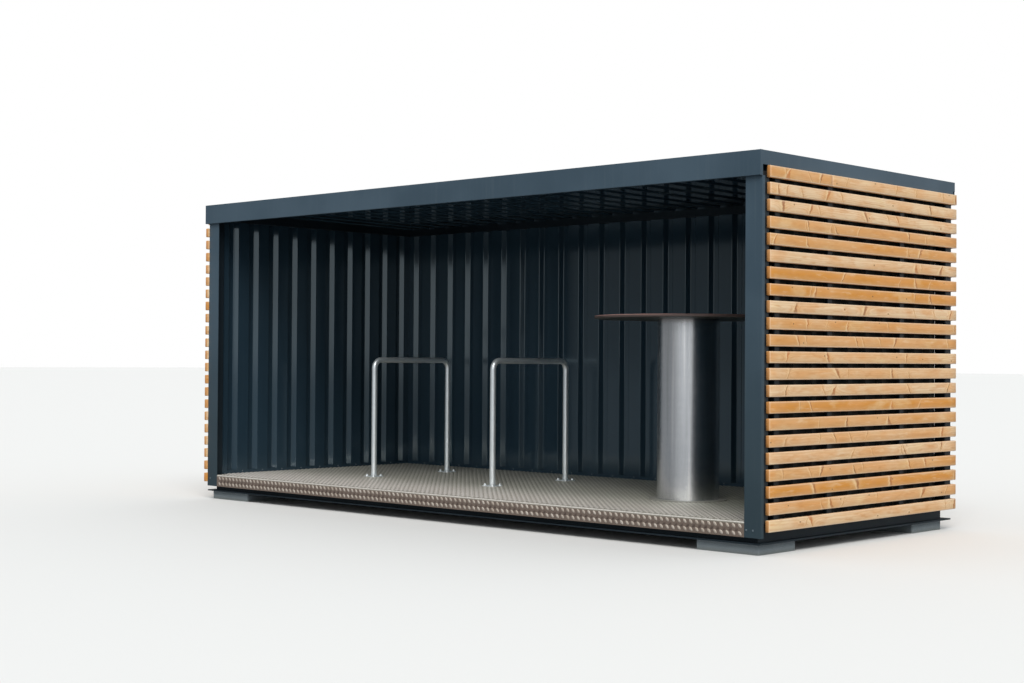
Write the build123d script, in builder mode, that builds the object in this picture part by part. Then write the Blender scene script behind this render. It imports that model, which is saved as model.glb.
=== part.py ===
from build123d import *
import os

# Bike shelter: a steel frame on four stone pads, open to the front.
# Three sides are trapezoidal sheet with a screen of timber battens outside.
# Inside are a tread plate floor, two hoops for bikes and a round standing table.
# Units are millimetres, +X along the length, +Y to the back, +Z up.
# The origin is on the ground in the middle of the plan.

# Overall sizes
length = 5226.0  # over the end fascias
depth = 2254.0  # over the front and rear fascias
height = 2301.0  # ground to the top of the fascias

# Pads
pad_height = 62.0
pad_length = 440.0
pad_width = 373.0
pad_inset = 29.0  # outer faces of the base to the front pads, and to the ends of all four
pad_rear_inset = 80.0
pad_chamfer = 6.0

# Base frame of channels, open side outwards
base_height = 125.0
base_flange = 55.0
base_web = 6.0
base_flange_thickness = 9.0
joist_width = 40.0
joist_height = 80.0
joist_wall = 4.0
joist_radius = 6.0
joist_count = 7
joist_end = 250.0  # outer face of the base to the middle of the end joists

# Floor of tread plate, turned down over the front channel
floor_thickness = 4.0
floor_flange_height = 90.0
floor_bend = 12.0  # over the outer face
floor_gap = 1.0

# Posts
post_size = 80.0
post_wall = 4.0
post_radius = 8.0
front_setback = 25.0  # fascia face to the front of the posts
side_setback = 9.0  # fascia face to the sides of the posts
cover_width = 115.0
cover_return = 26.0
flat_cover_width = 120.0
cover_bend = 3.0

# Ring beam under the fascias
ring_width = 60.0
ring_height = 120.0
ring_wall = 4.0
ring_radius = 8.0

# Trapezoidal sheet
sheet_thickness = 1.5
sheet_bend = 3.0
rib_depth = 35.0
rib_crown = 40.0
rib_flank = 26.0  # run of one sloping side
back_rib_pitch = 212.0
side_rib_pitch = 199.0
roof_rib_pitch = 207.0

# Roof
roof_fall = 20.0
roof_overlap = 18.0  # roof sheet past the front of the gutter
roof_gap = 1.0
roof_eaves_drop = 66.0  # top of the fascias to the low end of the roof sheet
ledger_leg = 40.0
ledger_thickness = 4.0
gutter_thickness = 3.0

# Fascias
fascia_sheet = 2.0
fascia_bend = 2.0
front_fascia_height = 145.0
side_fascia_height = 83.0
fascia_cap_overlap = 10.0  # flat top past the inner face of the ring beam
front_fascia_lip = 40.0
side_fascia_lip = 20.0
fascia_drip = 8.0
corner_notch = 22.0  # open fold at the lower rear corners

# Timber battens
batten_height = 68.0
batten_thickness = 27.0
batten_gap = 28.0  # nominal: the boards share out the height
batten_clearance = 1.0  # under the side fascias and behind the front one
batten_rise = 71.0  # underside of the base to the lowest batten
batten_front = 74.0  # front fascia face to the ends of the right battens
batten_rear = 4.0  # rear fascia face to the ends of the right battens
batten_joint = 3.0
batten_edge = 4.0

# Uprights that carry the battens
carrier_width = 50.0
carrier_wall = 2.5
carrier_radius = 4.0
carrier_places = (185.0, 742.0, 1585.0)  # behind the front fascia face
stud_width = 60.0
stud_wall = 3.0
stud_radius = 6.0
stud_count = 5

# Foot trims along the walls
trim_leg = 25.0
trim_thickness = 2.0

# Bike hoops
hoop_tube = 42.4
hoop_wall = 2.6
hoop_height = 925.0
hoop_width = 792.0  # between the legs' centre lines
hoop_bend = 65.0
hoop_front = 794.0  # front fascia face to the front legs
hoop_places = {"hoop_left": -1516.0, "hoop_right": -240.0}
plate_size = 110.0
plate_thickness = 8.0
plate_corner = 12.0
plate_hole_distance = 76.0
plate_hole = 11.0

# Standing table
table_x = 1393.0
table_y = 954.0  # behind the front fascia face
table_underside = 1186.0
table_radius = 620.0
table_thickness = 19.0
table_edge = 5.0
column_radius = 205.0
column_wall = 3.0
foot_radius = 255.0
foot_thickness = 8.0
head_thickness = 8.0

# Levels
base_top = pad_height + base_height
floor_top = base_top + floor_thickness
ring_top = height - fascia_sheet
ring_bottom = ring_top - ring_height
eaves_level = height - roof_eaves_drop
ledge_level = eaves_level + roof_fall
front_fascia_bottom = height - front_fascia_height
side_fascia_bottom = height - side_fascia_height
flange_bottom = floor_top - floor_flange_height
batten_top = side_fascia_bottom - batten_clearance
batten_reach = batten_top - pad_height - batten_rise
batten_count = round((batten_reach + batten_gap) / (batten_height + batten_gap))
batten_pitch = (batten_reach - batten_height) / (batten_count - 1)
batten_levels = [batten_top - batten_height / 2 - row * batten_pitch for row in range(batten_count)]

# Plan lines
face_x = length / 2
face_y = depth / 2
frame_x = face_x - side_setback
frame_front = -face_y + front_setback
frame_rear = face_y - batten_thickness
frame_middle = (frame_front + frame_rear) / 2
ring_inner_x = frame_x - ring_width
ring_inner_front = frame_front + ring_width
ring_inner_rear = frame_rear - ring_width
post_back = frame_front + post_size
back_crown = frame_rear - post_size
back_inner = back_crown - rib_depth
side_inner = ring_inner_x
side_crown = side_inner + rib_depth
carrier_thickness = frame_x - side_crown
batten_x = frame_x + batten_thickness
cover_thickness = floor_thickness
cover_front = frame_front - cover_thickness
cover_inner = face_x - cover_width
flat_cover_inner = frame_x - flat_cover_width


def channel_profile():
    """Channel section open towards +X, its outer edge on the Y axis, the top toe eased for the floor's fold."""
    with BuildSketch() as profile:
        Rectangle(base_flange, base_height, align=(Align.MAX, Align.MIN))
        with Locations((0, base_flange_thickness)):
            Rectangle(
                base_flange - base_web,
                base_height - 2 * base_flange_thickness,
                align=(Align.MAX, Align.MIN),
                mode=Mode.SUBTRACT,
            )
        top_toe = profile.vertices().group_by(Axis.Y)[-1].sort_by(Axis.X)[-1]
        fillet(top_toe, radius=floor_bend - floor_thickness)
    return profile.sketch


def tube_profile(width, tall, wall, radius):
    """Rectangular hollow section with rounded corners, centred on the origin."""
    with BuildSketch() as profile:
        RectangleRounded(width, tall, radius)
        RectangleRounded(width - 2 * wall, tall - 2 * wall, radius - wall, mode=Mode.SUBTRACT)
    return profile.sketch


def folded_profile(points, thickness, bend):
    """Section of a folded strip: the points run along its outer face, the metal lies to their left."""
    with BuildSketch() as profile:
        with BuildLine():
            FilletPolyline(*points, radius=bend)
            offset(amount=thickness, side=Side.LEFT)
        make_face()
    return profile.sketch


def ribbed_profile(start, end, pitch):
    """Section of a trapezoidal sheet: flats on the X axis, whole ribs rising towards +Y."""
    rib_foot = rib_crown / 2 + rib_flank
    rib_rise = rib_depth - sheet_thickness
    rib_count = int((end - start - 2 * rib_foot) // pitch) + 1
    corners = [(start, 0)]
    for rib in range(rib_count):
        middle = (start + end) / 2 + (rib - (rib_count - 1) / 2) * pitch
        corners.append((middle - rib_foot, 0))
        corners.append((middle - rib_crown / 2, rib_rise))
        corners.append((middle + rib_crown / 2, rib_rise))
        corners.append((middle + rib_foot, 0))
    corners.append((end, 0))
    return folded_profile(corners, sheet_thickness, sheet_bend)


def save(piece, label):
    """Name a finished piece and write it to its own file."""
    piece.part.label = label
    export_step(piece.part, f"parts/{label}.step")


os.makedirs("parts", exist_ok=True)

# Stone pads under the corners of the base
pad_x = frame_x - pad_inset - pad_length / 2
pad_front = frame_front + pad_inset + pad_width / 2
pad_rear = frame_rear - pad_rear_inset - pad_width / 2
pad_places = {
    "pad_front_left": (-pad_x, pad_front),
    "pad_front_right": (pad_x, pad_front),
    "pad_rear_left": (-pad_x, pad_rear),
    "pad_rear_right": (pad_x, pad_rear),
}
for label, place in pad_places.items():
    with BuildPart() as pad:
        with Locations(place):
            Box(pad_length, pad_width, pad_height, align=(Align.CENTER, Align.CENTER, Align.MIN))
        chamfer(pad.edges().filter_by(Axis.Z), length=pad_chamfer)
        chamfer(pad.faces().sort_by(Axis.Z)[-1].edges(), length=pad_chamfer / 2)
    save(pad, label)

# Base frame: four channels with mitred corners
base_half_depth = (frame_rear - frame_front) / 2
base_sides = {
    "sill_front": (Vector(0, frame_front, pad_height), Vector(0, -1, 0), frame_x),
    "sill_rear": (Vector(0, frame_rear, pad_height), Vector(0, 1, 0), frame_x),
    "sill_left": (Vector(-frame_x, frame_middle, pad_height), Vector(-1, 0, 0), base_half_depth),
    "sill_right": (Vector(frame_x, frame_middle, pad_height), Vector(1, 0, 0), base_half_depth),
}
for label, (middle, outward, half_run) in base_sides.items():
    run = outward.cross(Vector(0, 0, 1))
    with BuildPart() as sill:
        with BuildSketch(Plane(middle, x_dir=outward, z_dir=run)):
            add(channel_profile())
        extrude(amount=half_run, both=True)
        for end in (-1, 1):
            corner = middle + run * (half_run * end)
            split(bisect_by=Plane(corner, z_dir=outward - run * end))
    save(sill, label)

# Floor joists between the webs of the front and rear channels
joist_run = frame_rear - frame_front - 2 * base_flange
joist_pitch = 2 * (frame_x - joist_end) / (joist_count - 1)
joist_level = base_top - joist_height / 2
with BuildPart() as floor_joists:
    with BuildSketch(Plane.XZ.offset(-(frame_rear - base_flange))):
        with Locations((0, joist_level)):
            with GridLocations(joist_pitch, 0, joist_count, 1):
                add(tube_profile(joist_width, joist_height, joist_wall, joist_radius))
    extrude(amount=joist_run)
save(floor_joists, "floor_joists")

# Tread plate floor: a folded front strip between the posts, and the flat behind them
floor_front = frame_front - floor_thickness
strip_left = -flat_cover_inner + floor_gap
strip_right = cover_inner - floor_gap
fold_points = [
    (back_crown, floor_top),
    (floor_front, floor_top),
    (floor_front, flange_bottom),
]
with BuildPart() as floor_plate:
    with BuildSketch(Plane.YZ.offset(strip_left)):
        add(folded_profile(fold_points, floor_thickness, floor_bend))
    extrude(amount=strip_right - strip_left)
    with BuildSketch(Plane.XY.offset(base_top)):
        with Locations((0, post_back + floor_gap)):
            Rectangle(
                2 * side_crown,
                back_crown - post_back - floor_gap,
                align=(Align.CENTER, Align.MIN),
            )
    extrude(amount=floor_thickness)
save(floor_plate, "floor_plate")

# Corner posts, between the base frame and the ring beam
post_x = frame_x - post_size / 2
post_front = frame_front + post_size / 2
post_rear = frame_rear - post_size / 2
post_places = {
    "post_front_left": (-post_x, post_front),
    "post_front_right": (post_x, post_front),
    "post_rear_left": (-post_x, post_rear),
    "post_rear_right": (post_x, post_rear),
}
for label, place in post_places.items():
    with BuildPart() as post:
        with BuildSketch(Plane.XY.offset(base_top)):
            with Locations(place):
                add(tube_profile(post_size, post_size, post_wall, post_radius))
        extrude(amount=ring_bottom - base_top)
    save(post, label)

# Covers on the front posts, which lap over the front channel.
# The right one is folded round the side; the left one is flat, because the battens run past its edge.
cover_height = front_fascia_bottom - flange_bottom
cover_points = [
    (cover_inner, cover_front),
    (face_x, cover_front),
    (face_x, cover_front + cover_return),
]
with BuildPart() as post_cover_right:
    with BuildSketch(Plane.XY.offset(flange_bottom)):
        add(folded_profile(cover_points, cover_thickness, cover_bend))
    extrude(amount=cover_height)
save(post_cover_right, "post_cover_right")

with BuildPart() as post_cover_left:
    with Locations((-frame_x, cover_front, flange_bottom)):
        Box(flat_cover_width, cover_thickness, cover_height, align=(Align.MIN, Align.MIN, Align.MIN))
save(post_cover_left, "post_cover_left")

# Ring beam: front and rear run through, the sides sit between them
ring_level = ring_top - ring_height / 2
ring_runs = {
    "ring_front": (Plane.YZ, frame_front + ring_width / 2, frame_x),
    "ring_rear": (Plane.YZ, frame_rear - ring_width / 2, frame_x),
}
for label, (plane, place, half_run) in ring_runs.items():
    with BuildPart() as ring:
        with BuildSketch(plane):
            with Locations((place, ring_level)):
                add(tube_profile(ring_width, ring_height, ring_wall, ring_radius))
        extrude(amount=half_run, both=True)
    save(ring, label)
for side, label in ((-1, "ring_left"), (1, "ring_right")):
    with BuildPart() as ring:
        with BuildSketch(Plane.XZ.offset(-ring_inner_rear)):
            with Locations((side * (frame_x - ring_width / 2), ring_level)):
                add(tube_profile(ring_width, ring_height, ring_wall, ring_radius))
        extrude(amount=ring_inner_rear - ring_inner_front)
    save(ring, label)

# Walls of trapezoidal sheet, flats inwards, standing on the floor plate
wall_height = ring_bottom - floor_top
with BuildPart() as wall_back:
    with BuildSketch(Plane.XY.offset(floor_top)):
        with Locations((0, back_inner)):
            add(ribbed_profile(-side_inner, side_inner, back_rib_pitch))
    extrude(amount=wall_height)
save(wall_back, "wall_back")

wall_front = post_back + floor_gap
wall_planes = {
    "wall_left": Plane((-side_inner, 0, floor_top), x_dir=(0, 1, 0), z_dir=(0, 0, 1)),
    "wall_right": Plane((side_inner, 0, floor_top), x_dir=(0, -1, 0), z_dir=(0, 0, 1)),
}
for label, plane in wall_planes.items():
    run_start, run_end = sorted((wall_front * plane.x_dir.Y, back_inner * plane.x_dir.Y))
    with BuildPart() as wall:
        with BuildSketch(plane):
            add(ribbed_profile(run_start, run_end, side_rib_pitch))
        extrude(amount=wall_height)
    save(wall, label)

# Foot trims: small angles in the corner of wall and floor
with BuildPart() as foot_trim_back:
    with BuildSketch(Plane.YZ):
        with Locations((back_inner, floor_top)):
            Rectangle(trim_leg, trim_thickness, align=(Align.MAX, Align.MIN))
            Rectangle(trim_thickness, trim_leg, align=(Align.MAX, Align.MIN))
    extrude(amount=side_inner, both=True)
save(foot_trim_back, "foot_trim_back")

with BuildPart() as foot_trim_right:
    with BuildSketch(Plane.XZ.offset(-(back_inner - trim_leg))):
        with Locations((side_inner, floor_top)):
            Rectangle(trim_leg, trim_thickness, align=(Align.MAX, Align.MIN))
            Rectangle(trim_thickness, trim_leg, align=(Align.MAX, Align.MIN))
    extrude(amount=back_inner - trim_leg - wall_front)
save(foot_trim_right, "foot_trim_right")

with BuildPart() as foot_trim_left:
    mirror(foot_trim_right.part, about=Plane.YZ)
save(foot_trim_left, "foot_trim_left")

# Gutter along the back wall, hung on the rear ring beam, with closed ends
roof_slope = roof_fall / (back_inner - ring_inner_front)
gutter_rim = eaves_level - roof_overlap * roof_slope
gutter_points = [
    (back_inner, gutter_rim),
    (back_inner, ring_bottom),
    (ring_inner_rear, ring_bottom),
    (ring_inner_rear, ledge_level),
]
with BuildPart() as roof_gutter:
    with BuildSketch(Plane.YZ):
        add(folded_profile(gutter_points, gutter_thickness, gutter_thickness))
    extrude(amount=side_inner, both=True)
    for end in (-1, 1):
        with Locations((end * (side_inner - gutter_thickness / 2), back_inner, ring_bottom)):
            Box(
                gutter_thickness,
                ring_inner_rear - back_inner,
                gutter_rim - ring_bottom,
                align=(Align.CENTER, Align.MIN, Align.MIN),
            )
save(roof_gutter, "roof_gutter")

# Ledger angle that carries the front edge of the roof sheet
ledger_level = ledge_level - ledger_leg * roof_slope
with BuildPart() as roof_ledger:
    with BuildSketch(Plane.YZ):
        with Locations((ring_inner_front, ledger_level)):
            Rectangle(ledger_leg, ledger_thickness, align=(Align.MIN, Align.MAX))
            Rectangle(ledger_thickness, ledger_leg, align=(Align.MIN, Align.MAX))
    extrude(amount=side_inner, both=True)
save(roof_ledger, "roof_ledger")

# Roof sheet, ribs up, falling to the gutter at the back
roof_start = Vector(0, ring_inner_front + roof_gap, ledge_level - roof_gap * roof_slope)
roof_run = Vector(0, back_inner + roof_overlap - roof_start.Y, 0)
roof_run += Vector(0, 0, -roof_run.Y * roof_slope)
roof_edge = side_inner - roof_gap
with BuildPart() as roof_sheet:
    with BuildSketch(Plane(roof_start, x_dir=(-1, 0, 0), z_dir=roof_run)):
        add(ribbed_profile(-roof_edge, roof_edge, roof_rib_pitch))
    extrude(amount=roof_run.length)
save(roof_sheet, "roof_sheet")


def fascia_profile(face_height, lip, seat):
    """Folded fascia, face on the Y axis: lip against the ring beam, drip, face, flat top, down-turn."""
    bottom = height - face_height
    cap = seat + ring_width + fascia_cap_overlap
    corners = [
        (-seat, bottom + lip),
        (-seat, bottom),
        (0, bottom),
        (0, height),
        (-cap, height),
        (-cap, height - fascia_drip),
    ]
    return folded_profile(corners, fascia_sheet, fascia_bend)


# Front fascia, the full length, with closed ends and its down-turn cut off over the side beams.
# On the left it reaches out over the battens, which run on to the front there.
front_cap_edge = ring_inner_front + fascia_cap_overlap
rear_cap_edge = ring_inner_rear - fascia_cap_overlap
side_cap_edge = side_inner - fascia_cap_overlap
inside_face = face_x - fascia_sheet
with BuildPart() as fascia_front:
    with BuildSketch(Plane((face_x, -face_y, 0), x_dir=(0, -1, 0), z_dir=(-1, 0, 0))):
        add(fascia_profile(front_fascia_height, front_fascia_lip, front_setback))
    extrude(amount=face_x + batten_x)
    for end, reach in ((-1, batten_x), (1, face_x)):
        with Locations((end * (reach - fascia_sheet / 2), -face_y, front_fascia_bottom)):
            Box(
                fascia_sheet,
                front_setback,
                front_fascia_height,
                align=(Align.CENTER, Align.MIN, Align.MIN),
            )
        with Locations((end * reach, front_cap_edge, ring_top)):
            Box(
                2 * (reach - side_cap_edge),
                fascia_cap_overlap,
                fascia_drip,
                align=(Align.CENTER, Align.MAX, Align.MAX),
                mode=Mode.SUBTRACT,
            )
        with Locations((end * reach, frame_front, height)):
            Box(
                2 * (reach - inside_face),
                front_cap_edge - frame_front,
                fascia_drip,
                align=(Align.CENTER, Align.MIN, Align.MAX),
                mode=Mode.SUBTRACT,
            )
save(fascia_front, "fascia_front")

# Rear fascia, between the faces of the side fascias
with BuildPart() as fascia_rear:
    with BuildSketch(Plane((0, face_y, 0), x_dir=(0, 1, 0), z_dir=(1, 0, 0))):
        add(fascia_profile(side_fascia_height, side_fascia_lip, batten_thickness))
    extrude(amount=inside_face, both=True)
    for end in (-1, 1):
        with Locations((end * face_x, rear_cap_edge, ring_top)):
            Box(
                2 * (face_x - side_cap_edge),
                fascia_cap_overlap,
                fascia_drip,
                align=(Align.CENTER, Align.MIN, Align.MAX),
                mode=Mode.SUBTRACT,
            )
save(fascia_rear, "fascia_rear")

# Side fascias: the flat top stops at the front and rear ones, the face runs on to the rear face
with BuildPart() as fascia_right:
    with BuildSketch(Plane((face_x, face_y, 0), x_dir=(1, 0, 0), z_dir=(0, -1, 0))):
        add(fascia_profile(side_fascia_height, side_fascia_lip, side_setback))
    extrude(amount=face_y - frame_front)
    with Locations((inside_face, frame_front, height)):
        Box(
            fascia_cap_overlap + ring_width + side_setback,
            front_cap_edge - frame_front,
            fascia_drip,
            align=(Align.MAX, Align.MIN, Align.MAX),
            mode=Mode.SUBTRACT,
        )
    with Locations((inside_face, face_y, height)):
        Box(
            fascia_cap_overlap + ring_width + side_setback,
            face_y - rear_cap_edge,
            fascia_drip,
            align=(Align.MAX, Align.MAX, Align.MAX),
            mode=Mode.SUBTRACT,
        )
        Box(
            side_setback,
            face_y - frame_rear,
            side_fascia_height,
            align=(Align.MAX, Align.MAX, Align.MAX),
            mode=Mode.SUBTRACT,
        )
    with Locations((face_x, face_y, side_fascia_bottom)):
        Box(
            fascia_sheet,
            corner_notch,
            corner_notch,
            align=(Align.MAX, Align.MAX, Align.MIN),
            mode=Mode.SUBTRACT,
        )
save(fascia_right, "fascia_right")

with BuildPart() as fascia_left:
    mirror(fascia_right.part, about=Plane.YZ)
save(fascia_left, "fascia_left")

# Uprights behind the battens: carriers on the side sheets, studs on the back sheet
upright_height = ring_bottom - base_top
with BuildPart() as carriers_right:
    with BuildSketch(Plane.XY.offset(base_top)):
        for place in carrier_places:
            with Locations((frame_x - carrier_thickness / 2, -face_y + place)):
                add(tube_profile(carrier_thickness, carrier_width, carrier_wall, carrier_radius))
    extrude(amount=upright_height)
save(carriers_right, "carriers_right")

with BuildPart() as carriers_left:
    mirror(carriers_right.part, about=Plane.YZ)
save(carriers_left, "carriers_left")

stud_pitch = 2 * post_x / (stud_count + 1)
with BuildPart() as back_studs:
    with BuildSketch(Plane.XY.offset(base_top)):
        with Locations((0, (back_crown + frame_rear) / 2)):
            with GridLocations(stud_pitch, 0, stud_count, 1):
                add(tube_profile(stud_width, post_size, stud_wall, stud_radius))
    extrude(amount=upright_height)
save(back_studs, "back_studs")

# Batten screens: eased boards with open gaps.
# The left screen is the right one turned round, its top board cut back behind the front fascia.
side_batten_front = -face_y + batten_front
side_batten_rear = face_y - batten_rear
with BuildPart() as battens_right:
    with BuildSketch(Plane.XZ.offset(-side_batten_rear)) as board_ends:
        for level in batten_levels:
            with Locations((frame_x, level)):
                Rectangle(batten_thickness, batten_height, align=(Align.MIN, Align.CENTER))
        fillet(board_ends.vertices(), radius=batten_edge)
    extrude(amount=side_batten_rear - side_batten_front)
save(battens_right, "battens_right")

with BuildPart() as battens_left:
    add(battens_right.part.rotate(Axis.Z, 180))
    with Locations((-frame_x, frame_front + batten_clearance, batten_top)):
        Box(
            batten_thickness,
            front_setback + batten_clearance,
            batten_height,
            align=(Align.MAX, Align.MAX, Align.MAX),
            mode=Mode.SUBTRACT,
        )
save(battens_left, "battens_left")

# The back screen has two lengths to a row, which meet on the middle stud
back_batten_length = frame_x - batten_joint * 3 / 2
with BuildPart() as battens_back:
    for side in (-1, 1):
        with BuildSketch(Plane.YZ.offset(side * batten_joint / 2)) as board_ends:
            for level in batten_levels:
                with Locations((frame_rear, level)):
                    Rectangle(batten_thickness, batten_height, align=(Align.MIN, Align.CENTER))
            fillet(board_ends.vertices(), radius=batten_edge)
        extrude(amount=side * back_batten_length)
save(battens_back, "battens_back")

# Bike hoops: bent tube on foot plates, in line with the depth
hoop_legs = (-face_y + hoop_front, -face_y + hoop_front + hoop_width)
hoop_foot = floor_top + plate_thickness
hoop_level = floor_top + hoop_height - hoop_tube / 2
for label, place in hoop_places.items():
    with BuildPart() as hoop:
        with BuildLine():
            FilletPolyline(
                (place, hoop_legs[0], hoop_foot),
                (place, hoop_legs[0], hoop_level),
                (place, hoop_legs[1], hoop_level),
                (place, hoop_legs[1], hoop_foot),
                radius=hoop_bend,
            )
        with BuildSketch(Plane.XY.offset(hoop_foot)):
            with Locations((place, hoop_legs[0])):
                Circle(hoop_tube / 2)
                Circle(hoop_tube / 2 - hoop_wall, mode=Mode.SUBTRACT)
        sweep()
    save(hoop, label)

with BuildPart() as hoop_plates:
    with BuildSketch(Plane.XY.offset(floor_top)):
        with Locations(*[(place, leg) for place in hoop_places.values() for leg in hoop_legs]):
            RectangleRounded(plate_size, plate_size, plate_corner)
            with GridLocations(plate_hole_distance, plate_hole_distance, 2, 2):
                Circle(plate_hole / 2, mode=Mode.SUBTRACT)
    extrude(amount=plate_thickness)
save(hoop_plates, "hoop_plates")

# Standing table: foot disc, column closed at its head, round top
table_place = (table_x, -face_y + table_y)
table_level = floor_top + table_underside
column_foot = floor_top + foot_thickness
with BuildPart() as table_foot:
    with BuildSketch(Plane.XY.offset(floor_top)):
        with Locations(table_place):
            Circle(foot_radius)
    extrude(amount=foot_thickness)
save(table_foot, "table_foot")

with BuildPart() as table_column:
    with BuildSketch(Plane.XY.offset(column_foot)):
        with Locations(table_place):
            Circle(column_radius)
            Circle(column_radius - column_wall, mode=Mode.SUBTRACT)
    extrude(amount=table_level - column_foot)
    with BuildSketch(Plane.XY.offset(table_level - head_thickness)):
        with Locations(table_place):
            Circle(column_radius - column_wall)
    extrude(amount=head_thickness)
save(table_column, "table_column")

with BuildPart() as table_top:
    with BuildSketch(Plane.XY.offset(table_level)):
        with Locations(table_place):
            Circle(table_radius)
    extrude(amount=table_thickness)
    fillet(table_top.edges(), radius=table_edge)
save(table_top, "table_top")
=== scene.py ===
"""A bike shelter, dressed in the order in which it is put together."""
import math

import bpy
import numpy as np
from mathutils import Matrix, Vector


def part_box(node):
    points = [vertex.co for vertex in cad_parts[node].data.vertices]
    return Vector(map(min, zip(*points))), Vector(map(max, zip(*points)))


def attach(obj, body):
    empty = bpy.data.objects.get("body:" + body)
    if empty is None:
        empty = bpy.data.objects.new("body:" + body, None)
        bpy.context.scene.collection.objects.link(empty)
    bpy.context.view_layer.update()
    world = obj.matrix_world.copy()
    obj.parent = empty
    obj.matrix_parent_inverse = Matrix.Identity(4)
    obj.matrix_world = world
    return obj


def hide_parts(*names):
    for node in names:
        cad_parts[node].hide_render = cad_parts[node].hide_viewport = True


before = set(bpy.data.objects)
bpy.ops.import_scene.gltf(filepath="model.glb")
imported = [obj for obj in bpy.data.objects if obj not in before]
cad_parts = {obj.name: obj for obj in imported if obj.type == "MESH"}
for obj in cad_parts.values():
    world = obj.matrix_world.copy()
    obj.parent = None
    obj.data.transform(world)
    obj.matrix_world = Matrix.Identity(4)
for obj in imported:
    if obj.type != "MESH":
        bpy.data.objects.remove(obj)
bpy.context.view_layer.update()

# Viewpoint
# A camera at chest height off the right front corner, looking slightly up.
# Its place, turn and lens were fitted to the shelter's long edges in the photograph.
picture_width = 1024
focal_length = 1612.2  # in pixels of the picture
film_width = 36.0  # in millimetres
sight_limit = 400.0
viewer_turn = math.radians(43.328)
viewer_tilt = math.radians(0.666)
viewer_roll = math.radians(0.372)
viewer_place = Vector((7.8309, -8.6930, 1.0996))
lens = bpy.data.cameras.new("viewpoint")
lens.sensor_width = film_width
lens.lens = focal_length / picture_width * film_width
lens.clip_end = sight_limit
viewpoint = bpy.data.objects.new("viewpoint", lens)
bpy.context.scene.collection.objects.link(viewpoint)
bpy.context.scene.camera = viewpoint
ahead = Vector((
    -math.sin(viewer_turn) * math.cos(viewer_tilt),
    math.cos(viewer_turn) * math.cos(viewer_tilt),
    math.sin(viewer_tilt),
))
rightward = Vector((math.cos(viewer_turn), math.sin(viewer_turn), 0.0))
upward = rightward.cross(ahead)
picture_right = rightward * math.cos(viewer_roll) + upward * math.sin(viewer_roll)
picture_up = upward * math.cos(viewer_roll) - rightward * math.sin(viewer_roll)
turned = Matrix((picture_right, picture_up, -ahead)).transposed()
viewpoint.matrix_world = Matrix.Translation(viewer_place) @ turned.to_4x4()
bpy.context.scene.view_settings.view_transform = "Standard"

# Sky, lamp and ground
# A plain studio: an even sky that shows white, one broad soft lamp and a pale floor.
# What mirrors the sky sees it dimmer on the left, where no lamp stands.
sky_strength = 0.84
dim_heading, full_heading = -0.55, 0.35  # eastward part of a ray's heading
dim_share = 0.20
lamp_strength = 1.95
lamp_spread = math.radians(35.0)
lamp_heading = Vector((0.52, -0.55, 0.85))
sky = bpy.data.worlds.new("studio_sky")
sky.use_nodes = True
bpy.context.scene.world = sky
sky_nodes = sky.node_tree.nodes
sky_links = sky.node_tree.links
rays = sky_nodes.new("ShaderNodeLightPath")


def brighter(first, second):
    """The larger of two of the sky's values."""
    node = sky_nodes.new("ShaderNodeMath")
    node.operation = "MAXIMUM"
    sky_links.new(first, node.inputs[0])
    sky_links.new(second, node.inputs[1])
    return node.outputs[0]


heading = sky_nodes.new("ShaderNodeTexCoord")
heading_parts = sky_nodes.new("ShaderNodeSeparateXYZ")
sky_links.new(heading.outputs["Generated"], heading_parts.inputs[0])
sideways = sky_nodes.new("ShaderNodeMapRange")
sideways.interpolation_type = "SMOOTHSTEP"
sky_links.new(heading_parts.outputs["X"], sideways.inputs["Value"])
sideways.inputs["From Min"].default_value = dim_heading
sideways.inputs["From Max"].default_value = full_heading
sideways.inputs["To Min"].default_value = dim_share
sideways.inputs["To Max"].default_value = 1.0
lit = sky_nodes["Background"]
lit.inputs["Color"].default_value = (0.93, 0.97, 1.0, 1.0)
lit.inputs["Strength"].default_value = sky_strength
shown = sky_nodes.new("ShaderNodeBackground")
shown.inputs["Color"].default_value = (1.0, 1.0, 1.0, 1.0)
straight = brighter(rays.outputs["Is Camera Ray"], rays.outputs["Is Transmission Ray"])
sky_links.new(brighter(straight, sideways.outputs["Result"]), shown.inputs["Strength"])
either = sky_nodes.new("ShaderNodeMixShader")
sky_links.new(brighter(straight, rays.outputs["Is Glossy Ray"]), either.inputs[0])
sky_links.new(lit.outputs[0], either.inputs[1])
sky_links.new(shown.outputs[0], either.inputs[2])
sky_links.new(either.outputs[0], sky_nodes["World Output"].inputs["Surface"])

lamp = bpy.data.lights.new("broad_lamp", "SUN")
lamp.energy = lamp_strength
lamp.angle = lamp_spread
lamp.color = (1.0, 0.97, 0.93)
lamp_object = bpy.data.objects.new("broad_lamp", lamp)
lamp_object.rotation_euler = lamp_heading.to_track_quat("Z", "Y").to_euler()
bpy.context.scene.collection.objects.link(lamp_object)

# The ground looks pale, and throws little light back into the shelter.
ground_reach = 150.0
ground_seen = (0.74, 0.74, 0.73, 1.0)
ground_lighting = (0.21, 0.22, 0.23, 1.0)
ground_mesh = bpy.data.meshes.new("ground")
ground_corners = [(-ground_reach, -ground_reach, 0.0), (ground_reach, -ground_reach, 0.0)]
ground_corners += [(ground_reach, ground_reach, 0.0), (-ground_reach, ground_reach, 0.0)]
ground_mesh.from_pydata(ground_corners, [], [(0, 1, 2, 3)])
ground = bpy.data.objects.new("ground", ground_mesh)
bpy.context.scene.collection.objects.link(ground)
ground_paint = bpy.data.materials.new("pale_floor")
ground_paint.use_nodes = True
ground_shader = ground_paint.node_tree.nodes["Principled BSDF"]
ground_rays = ground_paint.node_tree.nodes.new("ShaderNodeLightPath")
ground_tone = ground_paint.node_tree.nodes.new("ShaderNodeMix")
ground_tone.data_type = "RGBA"
ground_tone.inputs[6].default_value = ground_lighting
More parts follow.
